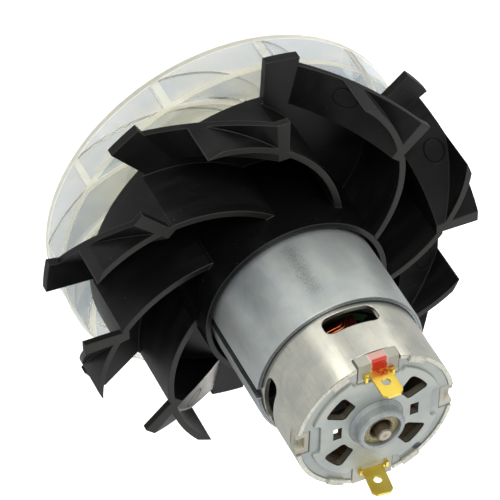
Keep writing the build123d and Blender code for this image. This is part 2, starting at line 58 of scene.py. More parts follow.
# Diffuser
collar_outer = 21.06 * mm
vane_top_highlight_span = (22.0 * mm, 31.0 * mm)
guide_pitch = 45.0 * degree
pin_mark_angle = 21.2 * degree
pin_mark_distance = 42.1 * mm
pin_mark_radius = 2.15 * mm

# Flux ring
ring_outer = 19.06 * mm
ring_sheet = 1.15 * mm
seam_angle = 0.6 * degree
seam_half_width = 1.45 * mm
# Where the ring's painted reflection lies
painted_reflection_angle = -48.0 * degree
painted_reflection_end = (50.0 * mm, 60.0 * mm)
rubbed_angle = -79.2 * degree
rubbed_start = (43.0 * mm, 47.0 * mm)
rubbed_end = (58.0 * mm, 61.0 * mm)

# End plate
boss_foot = 6.1 * mm
vent_angle = 40.0 * degree
vent_half_span = 14.3 * degree
vent_middle = 10.4 * mm
vent_half_depth = 2.52 * mm
slot_middle = 8.7 * mm
slot_half_depth = 0.97 * mm
slot_half_width = 1.67 * mm
dark_spot_x = -10.2 * mm
dark_spot_y = 12.6 * mm
dark_spot_width = 1.1 * mm
dark_spot_height = 0.9 * mm

# Rear bearing and shaft
oil_and_shade_edge = (2.2 * mm, 2.5 * mm)
shaft_centre_edge = (0.35 * mm, 0.6 * mm)

# Nylon carrier, and the tower of the marked terminal
dust_and_shade_edge = (14.2 * mm, 15.4 * mm)
ink_start_y = -14.0 * mm
blade_outer_y = -15.1 * mm
ink_x = -0.2 * mm
ink_on_blade_top = (82.0 * mm, 83.3 * mm)
ink_on_blade_side = (0.2 * mm, 1.4 * mm)

# Painted glow that the clear plastic gives off, though it is no lamp
ivory_glow = (0.13, 0.125, 0.104, 1.0)
haze_glow = (0.02, 0.019, 0.0165, 1.0)
no_glow = (0.0, 0.0, 0.0, 1.0)

# Coils
coil_count = 3
coil_pitch = 120
first_pole = 43
wire_radius = 0.235 * mm


# Node tree helpers

class Wiring:
    """Places nodes in one tree and links them. A value is a number, a colour, a vector or
    another node's socket."""

    def __init__(self, tree):
        self.tree = tree

    def put(self, kind, values=None, **settings):
        node = self.tree.nodes.new("ShaderNode" + kind)
        for name, value in settings.items():
            setattr(node, name, value)
        for name, value in (values or {}).items():
            self.feed(node.inputs[name], value)
        return node

    def feed(self, socket, value):
        if isinstance(value, bpy.types.NodeSocket):
            self.tree.links.new(value, socket)
        else:
            socket.default_value = value

    def math(self, operation, first, second=0.5, third=0.0):
        return self.put("Math", {0: first, 1: second, 2: third}, operation=operation).outputs[0]

    def plus(self, first, second):
        return self.math("ADD", first, second)

    def minus(self, first, second):
        return self.math("SUBTRACT", first, second)

    def times(self, value, *others):
        for other in others:
            value = self.math("MULTIPLY", value, other)
        return value

    def highest(self, value, *others):
        for other in others:
            value = self.math("MAXIMUM", value, other)
        return value

    def rise(self, value, slope, start):
        """Start plus slope times value."""
        return self.math("MULTIPLY_ADD", value, slope, start)

    def away(self, value, middle):
        """How far value lies from the middle, on either side."""
        return self.math("ABSOLUTE", self.minus(value, middle))

    def length(self, across, along):
        """Root of the sum of two squares."""
        squares = self.plus(self.times(across, across), self.times(along, along))
        return self.math("SQRT", squares)

    def step(self, value, low, high, start=0.0, end=1.0):
        """Smooth step of value from start at low to end at high."""
        return self.put("MapRange", {0: value, 1: low, 2: high, 3: start, 4: end},
                        interpolation_type="SMOOTHSTEP").outputs[0]

    def fade(self, value, low, high):
        """Smooth step of value from 1 at low down to 0 at high."""
        return self.step(value, low, high, 1.0, 0.0)

    def band(self, value, middle, solid, gone):
        """1 up to solid away from the middle, and down to 0 at gone."""
        return self.fade(self.away(value, middle), solid, gone)

    def mix(self, share, low, high):
        node = self.put("Mix", {0: share}, data_type="RGBA")
        self.feed(node.inputs[6], low)
        self.feed(node.inputs[7], high)
        return node.outputs[2]

    def two_tone(self, value, low, high, first, second):
        """The first tone up to low and the second from high on."""
        return self.mix(self.step(value, low, high), first, second)

    def tint(self, base, mask, tone, strength=1.0):
        """The tone laid over the base as far as the mask and the strength let it."""
        return self.mix(self.times(mask, strength), base, tone)

    def dot(self, first, second):
        node = self.put("VectorMath", {0: first, 1: second}, operation="DOT_PRODUCT")
        return node.outputs["Value"]

    def stretched(self, place, scale):
        return self.put("VectorMath", {0: place, 1: scale}, operation="MULTIPLY").outputs["Vector"]

    def parts(self, place):
        """The x, y and z of a place."""
        return self.put("SeparateXYZ", {0: place}).outputs

    def noise(self, place, scale, detail=3.0, rough=0.5, distortion=0.0):
        return self.put("TexNoise", {"Vector": place, "Scale": scale, "Detail": detail,
                                     "Roughness": rough, "Distortion": distortion}).outputs[0]

    def drawn_noise(self, place, scale, detail, rough, distortion=0.0):
        """Noise with its own scale along each axis."""
        return self.noise(self.stretched(place, scale), 1.0, detail, rough, distortion)

    def bump(self, height, distance, strength=1.0, normal=None):
        node = self.put("Bump", {"Height": height, "Distance": distance, "Strength": strength})
        if normal is not None:
            self.feed(node.inputs["Normal"], normal)
        return node.outputs[0]


# Effects that several finishes share

def shared_group(name, inputs, outputs, fill):
    """A node group with named sockets. fill(wiring, its inputs) places its nodes and returns
    its outputs."""
    tree = bpy.data.node_groups.new(name, "ShaderNodeTree")
    for label, kind, value in inputs:
        socket = tree.interface.new_socket(label, in_out="INPUT", socket_type=kind)
        if value is not None:
            socket.default_value = value
    for label, kind in outputs:
        tree.interface.new_socket(label, in_out="OUTPUT", socket_type=kind)
    entry = tree.nodes.new("NodeGroupInput")
    leave = tree.nodes.new("NodeGroupOutput")
    made = fill(Wiring(tree), entry.outputs)
    for label, socket in made.items():
        tree.links.new(socket, leave.inputs[label])
    return tree


def fill_soft_edges(nodes, given):
    """Normal rounded over sharp edges, and a mask that is 1 on them."""
    rounded = nodes.put("Bevel", {"Radius": given["Radius"]}, samples=6).outputs[0]
    flat = nodes.put("NewGeometry").outputs["True Normal"]
    return {"Normal": rounded, "Edge": nodes.step(nodes.dot(rounded, flat), 0.995, 0.86)}


def fill_drawn_sheet(nodes, given):
    """Marks of a drawn and plated sheet: fine streaks along the axis, clouds, dark scratches
    and a height."""
    place = given["Place"]
    streak = nodes.drawn_noise(place, (5200.0, 5200.0, 160.0), 2.0, 0.6)
    wide = nodes.drawn_noise(place, (900.0, 900.0, 60.0), 2.0, 0.5)
    cloud = nodes.noise(place, 210.0, 4.0, 0.6, 0.4)
    spot = nodes.drawn_noise(place, (700.0, 700.0, 330.0), 5.0, 0.7, 1.2)
    return {"Streak": streak, "Cloud": cloud, "Scratch": nodes.step(spot, 0.655, 0.70),
            "Height": nodes.plus(nodes.times(streak, 0.25), nodes.times(wide, 0.75))}


def fill_fine_grain(nodes, given):
    """Even fine grain of a moulded or blasted skin, with a broad unevenness under it."""
    return {"Grain": nodes.noise(given["Place"], given["Scale"], 3.0, 0.6),
            "Broad": nodes.noise(given["Place"], 120.0, 3.0, 0.5)}


number_kind, vector_kind = "NodeSocketFloat", "NodeSocketVector"
place_input = ("Place", vector_kind, None)
sheet_outputs = [(label, number_kind) for label in ("Streak", "Cloud", "Scratch", "Height")]
soft_edges = shared_group("soft edges", [("Radius", number_kind, 0.3 * mm)],
                          [("Normal", vector_kind), ("Edge", number_kind)], fill_soft_edges)
drawn_sheet = shared_group("drawn sheet", [place_input], sheet_outputs, fill_drawn_sheet)
fine_grain = shared_group("fine grain", [place_input, ("Scale", number_kind, 4000.0)],
                          [("Grain", number_kind), ("Broad", number_kind)], fill_fine_grain)


class Finish(Wiring):
    """One material: its shader with plain values on its own sockets, and the effects that
    feed it."""

    def __init__(self, name, colour, rough, **values):
        self.material = bpy.data.materials.new(name)
        self.material.use_nodes = True
        super().__init__(self.material.node_tree)
        self.shader = self.tree.nodes["Principled BSDF"]
        self.shader.inputs["Base Color"].default_value = (*colour[:3], 1.0)
        self.shader.inputs["Roughness"].default_value = rough
        for label, value in values.items():
            self.shader.inputs[label.replace("_", " ")].default_value = value
        self.place = self.put("TexCoord").outputs["Object"]

    def group(self, tree, **values):
        node = self.put("Group", node_tree=tree)
        for label, value in values.items():
            self.feed(node.inputs[label], value)
        return node.outputs

    def off_axis(self):
        """Distance from the motor axis."""
        x, y, _ = self.parts(self.place)
        return self.length(x, y)

    def set(self, label, value):
        self.feed(self.shader.inputs[label], value)

    def skin(self, base, rough, normal):
        """Colour, roughness and normal to the shader; returns the finished material."""
        self.set("Base Color", base)
        self.set("Roughness", rough)
        self.set("Normal", normal)
        return self.material


def rgba(red, green, blue):
    """A colour given as the photograph's 0 to 255 values, made linear."""
    linear = (((v / 255 + 0.055) / 1.055) ** 2.4 if v > 10 else v / 255 / 12.92
              for v in (red, green, blue))
    return (*linear, 1.0)


# Metal finishes

def can_zinc():
    """Bright drawn zinc, streaked along the axis, with a shadow line at the flux ring and a
    pale torn lip."""
    look = Finish("can zinc", rgba(220, 219, 206), 0.3, Metallic=1.0)
    marks = look.group(drawn_sheet, Place=look.place)
    edges = look.group(soft_edges, Radius=0.25 * mm)
    z = look.parts(look.place)[2]
    lip = look.step(z, rim_height - 0.1 * mm, rim_height + 0.05 * mm)
    torn = look.noise(look.place, 1500.0, 3.0, 0.6, 1.0)
    base = look.two_tone(marks["Cloud"], 0.3, 0.7, rgba(205, 207, 197), rgba(226, 224, 210))
    base = look.tint(base, look.step(marks["Streak"], 0.56, 0.7), rgba(160, 160, 150), 0.26)
    base = look.tint(base, look.fade(marks["Streak"], 0.28, 0.42), rgba(246, 245, 234), 0.35)
    base = look.tint(base, look.fade(z, ring_rear, ring_rear + 0.35 * mm), rgba(60, 66, 74), 0.75)
    base = look.tint(base, marks["Scratch"], rgba(150, 150, 143), 0.45)
    base = look.tint(base, lip, rgba(236, 233, 220), look.step(torn, 0.35, 0.6))
    base = look.tint(base, lip, rgba(70, 76, 78), look.step(torn, 0.6, 0.72))
    rough = look.rise(marks["Cloud"], 0.08, look.rise(marks["Streak"], 0.14, 0.2))
    normal = look.bump(marks["Height"], 0.04 * mm, 0.5, edges["Normal"])
    return look.skin(base, look.rise(lip, 0.25, rough),
                     look.bump(look.times(torn, lip), 0.4 * mm, 0.7, normal))


def sheared_faces(look, base, radius, turn, z):
    """The ring's cut faces, at the seam and the rear end, under its plated outer skin: torn grain, a dark
    line within the sheet and painted shade at the foot, in the corner where it meets the can."""
    inside = look.minus(1.0, look.step(radius, ring_outer - 0.12 * mm, ring_outer - 0.02 * mm))
    beside = look.math("ABSOLUTE", look.times(look.minus(turn, seam_angle), radius))
    cut = look.times(look.fade(beside, seam_half_width + 0.1 * mm, seam_half_width + 0.25 * mm), inside)
    end = look.times(look.step(z, ring_rear - 0.1 * mm, ring_rear - 0.03 * mm), inside)
    both = look.highest(cut, end)
    torn = look.drawn_noise(look.place, (3500.0, 3500.0, 500.0), 3.0, 0.7)
    line = look.band(radius, ring_outer - 0.5 * mm, 0.05 * mm, 0.14 * mm)
    foot = look.fade(radius, ring_outer - ring_sheet + 0.2 * mm, ring_outer - ring_sheet + 0.3 * mm)
    base = look.mix(cut, base, look.two_tone(torn, 0.3, 0.7, rgba(92, 98, 104), rgba(140, 145, 146)))
    base = look.mix(end, base, look.two_tone(torn, 0.3, 0.7, rgba(126, 132, 136), rgba(176, 180, 178)))
    base = look.tint(base, look.times(both, line), rgba(56, 62, 70), 0.6)
    # painted shade: the foot of each cut face, in the corner against the can, is darkened
    return look.tint(base, look.times(both, foot), rgba(34, 40, 50), 0.85)


def ring_zinc():
    """Duller zinc on rolled sheet, with a painted bluish reflection darkening one side, a rubbed line of
    specks and a painted highlight on edges.
    """
    look = Finish("ring zinc", rgba(196, 203, 201), 0.36, Metallic=0.7)
    marks = look.group(drawn_sheet, Place=look.place)
    edges = look.group(soft_edges, Radius=0.3 * mm)
    x, y, z = look.parts(look.place)
    radius, turn = look.length(x, y), look.math("ARCTAN2", y, x)
    base = look.two_tone(marks["Cloud"], 0.3, 0.7, rgba(193, 200, 199), rgba(207, 211, 206))
    base = sheared_faces(look, base, radius, turn, z)
    # painted reflection: a darker bluish band on one side of the ring, towards the diffuser
    bluish = look.step(look.drawn_noise(look.place, (260.0, 260.0, 60.0), 4.0, 0.6, 0.6), 0.25, 0.75)
    bluish = look.times(bluish, look.band(turn, painted_reflection_angle, 0.1, 0.5), look.fade(z, *painted_reflection_end))
    base = look.tint(base, bluish, rgba(122, 133, 152), 0.42)
    specks = look.drawn_noise(look.place, (7000.0, 7000.0, 3000.0), 2.0, 0.6)
    near = look.step(look.away(turn, rubbed_angle), 0.0, 0.15, 0.72, 0.5)
    rubbed = look.times(look.step(look.plus(look.minus(specks, 0.5), near), 0.6, 0.74),
                        look.step(near, 0.5, 0.6), look.step(z, *rubbed_start), look.fade(z, *rubbed_end))
    base = look.tint(base, rubbed, rgba(88, 92, 98), 0.4)
    smear = look.drawn_noise(look.place, (300.0, 300.0, 110.0), 5.0, 0.65, 0.3)
    base = look.tint(base, look.step(smear, 0.45, 0.8), rgba(120, 132, 142), 0.16)
    base = look.tint(base, marks["Scratch"], rgba(105, 110, 116), 0.35)
    # painted highlight: edges lightened
    base = look.tint(base, edges["Edge"], rgba(226, 228, 220), 0.5)
    rough = look.rise(smear, 0.12, look.rise(marks["Streak"], 0.12, 0.28))
    return look.skin(base, rough, look.bump(marks["Height"], 0.04 * mm, 0.45, edges["Normal"]))


def punched_walls(look, base, x, y, z, radius):
    """Walls of the four vents and two slots, darkened with painted shade: near black at the lip and
    browner metal below it. The plate is alike on both sides of X and Y, so their sizes alone place a
    hole."""
    fold_x, fold_y = look.math("ABSOLUTE", x), look.math("ABSOLUTE", y)
    vent = look.times(look.band(look.math("ARCTAN2", fold_y, fold_x), vent_angle,
                                vent_half_span, vent_half_span + 0.5 * degree),
                      look.band(radius, vent_middle, vent_half_depth, vent_half_depth + 0.08 * mm))
    slot = look.times(look.fade(fold_y, slot_half_width, slot_half_width + 0.08 * mm),
                      look.band(fold_x, slot_middle, slot_half_depth, slot_half_depth + 0.08 * mm))
    # painted shade on the walls of the vents and slots
    wall = look.times(look.highest(vent, slot),
                      look.fade(z, plate_rear + 0.45 * mm, plate_rear + 0.58 * mm))
    metal = look.two_tone(z, plate_rear + 0.05 * mm, plate_rear + 0.3 * mm,
                          rgba(104, 94, 72), rgba(30, 29, 27))
    return look.tint(base, wall, metal, 0.9)


def turned_boss(look, base, z, radius):
    """The bearing boss: bluish turned metal, worn in patches, above a line of painted shade in the crease
    at its foot.
    """
    boss = look.fade(radius, boss_foot - 0.05 * mm, boss_foot + 0.05 * mm)
    turned = look.noise(look.put("CombineXYZ", {0: radius, 1: z}).outputs[0], 5200.0, 3.0, 0.7)
    worn = look.step(look.noise(look.place, 520.0, 4.0, 0.65, 0.6), 0.4, 0.62)
    metal = look.mix(turned, rgba(128, 136, 150), rgba(186, 190, 194))
    base = look.tint(base, boss, metal, look.rise(worn, 0.5, 0.2))
    # painted shade: a dark line in the crease at the boss's foot
    foot = look.times(look.band(radius, boss_foot, 0.04 * mm, 0.12 * mm),
                      look.fade(z, plate_rear + 0.7 * mm, plate_rear + 0.8 * mm))
    return look.tint(base, foot, rgba(70, 74, 82), 0.6)


def end_plate_zinc():
    """Dull pale zinc: a painted highlight on edges, darker low parts, painted shade in the creases at the
    pressed steps and on the vent walls, and one blue-black spot.
    """
    look = Finish("end plate zinc", rgba(214, 219, 213), 0.58, Metallic=0.55)
    grain = look.group(fine_grain, Place=look.place, Scale=2600.0)
    edges = look.group(soft_edges, Radius=0.3 * mm)
    x, y, z = look.parts(look.place)
    radius = look.length(x, y)
    low = look.fade(z, plate_rear + 0.02 * mm, plate_rear + 0.2 * mm)
    # painted shade in the creases at the foot of the pressed steps
    crease = look.times(edges["Edge"], look.fade(z, plate_rear + 0.1 * mm, plate_rear + 0.16 * mm))
    dark_spot = look.length(look.math("DIVIDE", look.minus(x, dark_spot_x), dark_spot_width),
                        look.math("DIVIDE", look.minus(y, dark_spot_y), dark_spot_height))
    base = look.two_tone(grain["Broad"], 0.35, 0.65, rgba(184, 190, 186), rgba(203, 207, 199))
    # painted highlight: edges lightened
    base = look.tint(base, edges["Edge"], rgba(228, 230, 223), 0.5)
    base = look.tint(base, low, rgba(160, 166, 164), 0.2)
    base = punched_walls(look, base, x, y, z, radius)
    base = turned_boss(look, base, z, radius)
    base = look.tint(base, crease, rgba(92, 98, 100), 0.75)
    base = look.tint(base, look.fade(dark_spot, 0.6, 1.2), rgba(58, 66, 84), 0.85)
    return look.skin(base, look.rise(grain["Grain"], 0.16, 0.5),
                     look.bump(grain["Grain"], 0.03 * mm, 0.5, edges["Normal"]))


def bare_metal(name, light, dark, rough, scale=1800.0, stretch=(1.0, 1.0, 1.0), bump=0.02 * mm):
    """A bare metal with two tones, a grain that can be drawn out one way, and soft edges with a painted
    highlight.
    """
    look = Finish(name, light, rough, Metallic=1.0)
    grain = look.group(fine_grain, Place=look.stretched(look.place, stretch), Scale=scale)
    edges = look.group(soft_edges, Radius=0.15 * mm)
    base = look.two_tone(grain["Grain"], 0.3, 0.7, dark, light)
    # painted highlight: edges lightened
    base = look.tint(base, edges["Edge"], (1.0, 0.98, 0.94, 1.0), 0.3)
    return look.skin(base, look.rise(grain["Broad"], 0.2, rough - 0.1),
                     look.bump(grain["Grain"], bump, 0.5, edges["Normal"]))


def sintered_bronze():
    """Pressed bronze grains, dark and shiny next to the shaft: oil, and painted shade in the bore's
    chamfer.
    """
    look = Finish("sintered bronze", rgba(160, 152, 118), 0.5, Metallic=0.6)
    grain = look.group(fine_grain, Place=look.place, Scale=3200.0)
    # darker next to the shaft: oil and painted shade
    oil_and_shade = look.fade(look.off_axis(), *oil_and_shade_edge)
    base = look.two_tone(grain["Grain"], 0.35, 0.65, rgba(120, 110, 78), rgba(176, 168, 132))
    return look.skin(look.mix(oil_and_shade, base, rgba(58, 42, 26)), look.rise(oil_and_shade, -0.25, 0.5),
                     look.bump(grain["Grain"], 0.05 * mm, 0.6))


def shaft_steel():
    """Ground steel: rings on the end, with a darker centre, and fine lines round the side."""
    look = Finish("shaft steel", rgba(186, 174, 160), 0.3, Metallic=1.0)
    radius = look.off_axis()
    rings = look.noise(look.put("CombineXYZ", {0: radius}).outputs[0], 14000.0, 2.0)
    fine = look.drawn_noise(look.place, (300.0, 300.0, 9000.0), 2.0, 0.5)
    base = look.mix(rings, rgba(140, 130, 118), rgba(186, 176, 160))
    base = look.tint(base, look.fade(radius, *shaft_centre_edge), rgba(110, 96, 92), 0.5)
    return look.skin(base, look.rise(fine, 0.2, 0.28), look.bump(look.plus(rings, fine), 0.02 * mm, 0.5))


def terminal_brass():
    """Yellow brass, with a ragged lick of the red ink at the foot of the marked terminal, and a painted
    highlight on edges.
    """
    look = Finish("terminal brass", rgba(222, 186, 82), 0.3, Metallic=0.85)
    grain = look.group(fine_grain, Place=look.stretched(look.place, (1.0, 1.0, 0.12)), Scale=5000.0)
    edges = look.group(soft_edges, Radius=0.12 * mm)
    x, y, z = look.parts(look.place)
    painted = look.times(look.fade(y, blade_outer_y, blade_outer_y + 0.1 * mm),
                         look.fade(z, *ink_on_blade_top), look.fade(x, *ink_on_blade_side))
    ragged = look.step(look.noise(look.place, 1400.0, 3.0), 0.36, 0.56)
    base = look.two_tone(grain["Broad"], 0.35, 0.65, rgba(230, 194, 58), rgba(246, 220, 100))
    base = look.tint(base, painted, rgba(222, 92, 38), ragged)
    # painted highlight: edges lightened
    base = look.tint(base, edges["Edge"], rgba(250, 240, 196), 0.4)
    return look.skin(base, look.rise(grain["Grain"], 0.16, 0.3),
                     look.bump(grain["Grain"], 0.02 * mm, 0.5, edges["Normal"]))


def laminated_steel():
    """Thin sheets stacked along the axis, each a slightly different grey, with dark lines
    between."""
    look = Finish("laminated steel", rgba(96, 98, 100), 0.4, Metallic=0.8)
    z = look.parts(look.place)[2]
    line = look.away(look.math("FRACT", look.math("DIVIDE", z, 0.5 * mm)), 0.5)
    tone = look.noise(look.put("CombineXYZ", {2: z}).outputs[0], 2400.0, 1.0)
    base = look.mix(tone, rgba(82, 84, 88), rgba(132, 133, 134))
    look.set("Base Color", look.mix(look.step(line, 0.40, 0.48), base, rgba(34, 32, 32)))
    look.set("Normal", look.bump(look.fade(line, 0.36, 0.5), 0.06 * mm, 0.7))
    return look.material


def copper_wire():
    """Round enamelled wire in two reds."""
    look = Finish("copper wire", rgba(206, 92, 48), 0.24, Metallic=0.9, Coat_Weight=0.6)
    grain = look.group(fine_grain, Place=look.place, Scale=900.0)
    look.set("Base Color", look.two_tone(grain["Broad"], 0.3, 0.7, rgba(178, 64, 34), rgba(222, 120, 66)))
    look.set("Roughness", look.rise(grain["Grain"], 0.15, 0.16))
    return look.material


# Plastic and other finishes

def ejector_pin_grooves(look, x, y, radius):
    """A mask that is 1 on one round groove in each eighth of the diffuser."""
    turn = look.plus(look.math("ARCTAN2", y, x), 4 * math.pi)
    across = look.times(look.minus(look.math("MODULO", turn, guide_pitch), pin_mark_angle), radius)
    from_pin = look.length(across, look.minus(radius, pin_mark_distance))
    return look.times(look.step(from_pin, pin_mark_radius - 0.2 * mm, pin_mark_radius),
                      look.fade(from_pin, pin_mark_radius + 0.05 * mm, pin_mark_radius + 0.25 * mm))


def black_plastic():
    """Black moulded plastic: painted shade, deep and clean, at the collar, a painted highlight on the
    rear faces of the vanes and on edges, with scuffs, dust and the marks of the ejector pins, their
    grooves darkened by painted shade."""
    look = Finish("black plastic", rgba(19, 19, 19), 0.34, Specular_IOR_Level=0.2)
    grain = look.group(fine_grain, Place=look.place, Scale=2300.0)
    edges = look.group(soft_edges, Radius=0.35 * mm)
    flow = look.drawn_noise(look.place, (70.0, 70.0, 240.0), 4.0, 0.55, 0.6)
    x, y, z = look.parts(look.place)
    radius = look.length(x, y)
    groove = ejector_pin_grooves(look, x, y, radius)
    scuff = look.drawn_noise(look.place, (420.0, 420.0, 300.0), 5.0, 0.75, 0.8)
    worn = look.times(look.step(scuff, 0.66, 0.74), look.step(flow, 0.5, 0.62))
    dust = look.step(look.noise(look.place, 3300.0, 1.0, 0.5), 0.79, 0.83)
    # painted shade: the collar and the channels next to it darkened
    collar = look.fade(radius, collar_outer + 0.1 * mm, collar_outer + 0.6 * mm)
    # painted highlight on the vanes' rear faces, weaker towards the collar
    painted_top_highlight = look.times(look.step(z, guide_rear - 0.12 * mm, guide_rear - 0.04 * mm),
                     look.step(radius, *vane_top_highlight_span, 0.45, 1.0))
    base = look.two_tone(flow, 0.35, 0.7, rgba(18, 18, 19), rgba(29, 29, 28))
    base = look.tint(base, painted_top_highlight, rgba(46, 46, 42), 0.75)
    base = look.tint(base, collar, rgba(10, 10, 11), 0.9)
    # painted highlight: edges lightened
    base = look.tint(base, edges["Edge"], rgba(78, 77, 70), 0.7)
    base = look.tint(base, worn, rgba(82, 80, 72), 0.5)
    # painted shade in the pin grooves
    base = look.tint(base, groove, rgba(12, 12, 12), 0.8)
    base = look.tint(base, dust, rgba(170, 168, 158), 0.6)
    rough = look.rise(flow, 0.24, look.rise(grain["Broad"], 0.1, 0.24))
    rough = look.rise(collar, -0.12, look.rise(look.highest(worn, groove), 0.4, rough))
    normal = look.bump(grain["Grain"], 0.02 * mm, 0.4, edges["Normal"])
    return look.skin(base, rough, look.bump(look.minus(1.0, groove), 0.2 * mm, 0.9, normal))


def from_impeller_vane(look, x, y, radius):
    """Distance from the middle of the nearest impeller vane. A vane is an arc about a centre
    off the axis. The cosine rule gives the angle, seen from the axis, between that centre and
    the arc's point at the same radius; the turn past that point is brought within half a pitch
    of a vane, and the cosine rule then gives the distance from that vane's centre, less the
    arc's radius."""
    pitch = 2 * math.pi / impeller_vanes
    squares = look.math("MULTIPLY_ADD", radius, radius, vane_centre ** 2)
    sides = look.times(radius, 2 * vane_centre)
    cosine = look.math("DIVIDE", look.minus(squares, vane_arc ** 2), sides)
    bend = look.math("ARCCOSINE", look.highest(look.math("MINIMUM", cosine, 1.0), -1.0))
    past = look.plus(look.minus(look.math("ARCTAN2", y, x), vane_centre_angle), bend)
    past = look.minus(look.math("MODULO", look.plus(past, 20.5 * pitch), pitch), 0.5 * pitch)
    reach = look.minus(squares, look.times(sides, look.math("COSINE", look.minus(past, bend))))
    return look.away(look.math("SQRT", look.highest(reach, 0.0)), vane_arc)


def clear_plastic():
    """Clear styrene, a little blue towards the rim. It glows with painted light: faintly inwards of the
    blue, and ivory in its rims and edges and along the roots of the vanes, which are paler and rougher
    there."""
    look = Finish("clear plastic", rgba(238, 241, 238), 0.06, IOR=1.14, Transmission_Weight=0.9,
                  Coat_Weight=1.0, Coat_IOR=1.5, Coat_Roughness=0.04, Emission_Strength=1.0)
    grain = look.group(fine_grain, Place=look.place, Scale=900.0)
    edges = look.group(soft_edges, Radius=0.25 * mm)
    flow = look.drawn_noise(look.place, (90.0, 90.0, 90.0), 4.0, 0.6, 1.2)
    x, y, z = look.parts(look.place)
    radius = look.length(x, y)
    from_vane = from_impeller_vane(look, x, y, radius)
    in_plate = look.step(z, plate_front - 0.1 * mm, plate_front)
    in_shroud = look.fade(z, shroud_rear, shroud_rear + 0.1 * mm)
    root = look.times(look.fade(from_vane, 0.6 * mm, 0.8 * mm), in_plate,
                      look.step(radius, vane_start - 0.5 * mm, vane_start + 0.5 * mm))
    rim = look.times(look.step(radius, impeller_radius - 0.35 * mm, impeller_radius - 0.15 * mm),
                     look.highest(in_plate, in_shroud, look.fade(from_vane, 0.3 * mm, 0.4 * mm)))
    # painted light: ivory glow and paler colour on rims, edges and vane roots
    ivory = look.highest(look.times(edges["Edge"], 0.8), rim, look.times(root, 0.9))
    outward = look.step(radius, *blue_towards_rim)
    outer = look.two_tone(flow, 0.3, 0.7, rgba(230, 236, 240), rgba(243, 244, 241))
    inner = look.two_tone(flow, 0.3, 0.7, rgba(252, 249, 238), rgba(255, 254, 244))
    base = look.mix(ivory, look.mix(outward, inner, outer), rgba(255, 252, 236))
    # painted light: a faint glow inwards of the blue
    painted_inner_glow = look.mix(outward, haze_glow, no_glow)
    look.set("Emission Color", look.mix(ivory, painted_inner_glow, ivory_glow))
    return look.skin(base, look.rise(ivory, 0.5, look.rise(grain["Broad"], 0.1, 0.02)),
                     look.bump(flow, 0.12 * mm, 0.35, edges["Normal"]))


def nylon():
    """Off-white nylon, brown inside the motor with carbon dust and painted shade, with greyer cheeks, a
    red ink mark on the tower of the marked terminal and a painted highlight on edges."""
    look = Finish("nylon", rgba(204, 202, 186), 0.42, Subsurface_Weight=0.25,
                  Subsurface_Scale=2.0 * mm)
    grain = look.group(fine_grain, Place=look.place, Scale=1500.0)
    edges = look.group(soft_edges, Radius=0.2 * mm)
    x, y, z = look.parts(look.place)
    # inside the motor: brown from carbon dust and painted shade
    inside = look.times(look.fade(look.length(x, y), *dust_and_shade_edge),
                        look.fade(z, carrier_rear - 0.3 * mm, carrier_rear))
    dust = look.noise(look.place, 260.0, 4.0, 0.6)
    dust_and_shade_tone = look.two_tone(dust, 0.35, 0.65, rgba(78, 68, 50), rgba(138, 122, 92))
    cheek = look.times(look.step(look.away(x, ink_x), 1.85 * mm, 2.1 * mm),
                       look.fade(y, ink_start_y, ink_start_y + 1.0 * mm))
    ragged = look.times(look.minus(look.noise(look.place, 900.0, 3.0), 0.5), 1.2 * mm)
    beside_ink = look.away(look.plus(x, ragged), ink_x)
    outer_side = look.fade(y, blade_outer_y, ink_start_y)
    stained = look.times(look.fade(beside_ink, 1.6 * mm, 2.0 * mm), outer_side)
    inked = look.times(look.fade(beside_ink, 1.5 * mm, 1.8 * mm), outer_side,
                       look.step(z, carrier_rear + 0.2 * mm, carrier_rear + 0.7 * mm))
    base = look.two_tone(grain["Broad"], 0.3, 0.7, rgba(188, 184, 164), rgba(212, 211, 198))
    base = look.mix(inside, base, dust_and_shade_tone)
    base = look.tint(base, cheek, rgba(158, 158, 142), 0.6)
    base = look.tint(base, stained, rgba(216, 160, 146), 0.8)
    base = look.mix(inked, base, rgba(208, 44, 30))
    # painted highlight: edges lightened
    base = look.tint(base, edges["Edge"], rgba(232, 230, 216), 0.3)
    return look.skin(base, look.rise(grain["Grain"], 0.15, 0.33),
                     look.bump(grain["Grain"], 0.03 * mm, 0.4, edges["Normal"]))


def dull_body(name, light, dark, rough, scale=2000.0):
    """A dull moulded, pressed or fired body with two tones, a fine grain and a painted grey highlight on
    edges.
    """
    look = Finish(name, light, rough)
    grain = look.group(fine_grain, Place=look.place, Scale=scale)
    edges = look.group(soft_edges, Radius=0.2 * mm)
    base = look.two_tone(grain["Broad"], 0.3, 0.7, dark, light)
    # painted highlight: edges lightened
    base = look.tint(base, edges["Edge"], (0.5, 0.5, 0.48, 1.0), 0.3)
    return look.skin(base, look.rise(grain["Grain"], 0.2, rough - 0.1),
                     look.bump(grain["Grain"], 0.04 * mm, 0.5, edges["Normal"]))


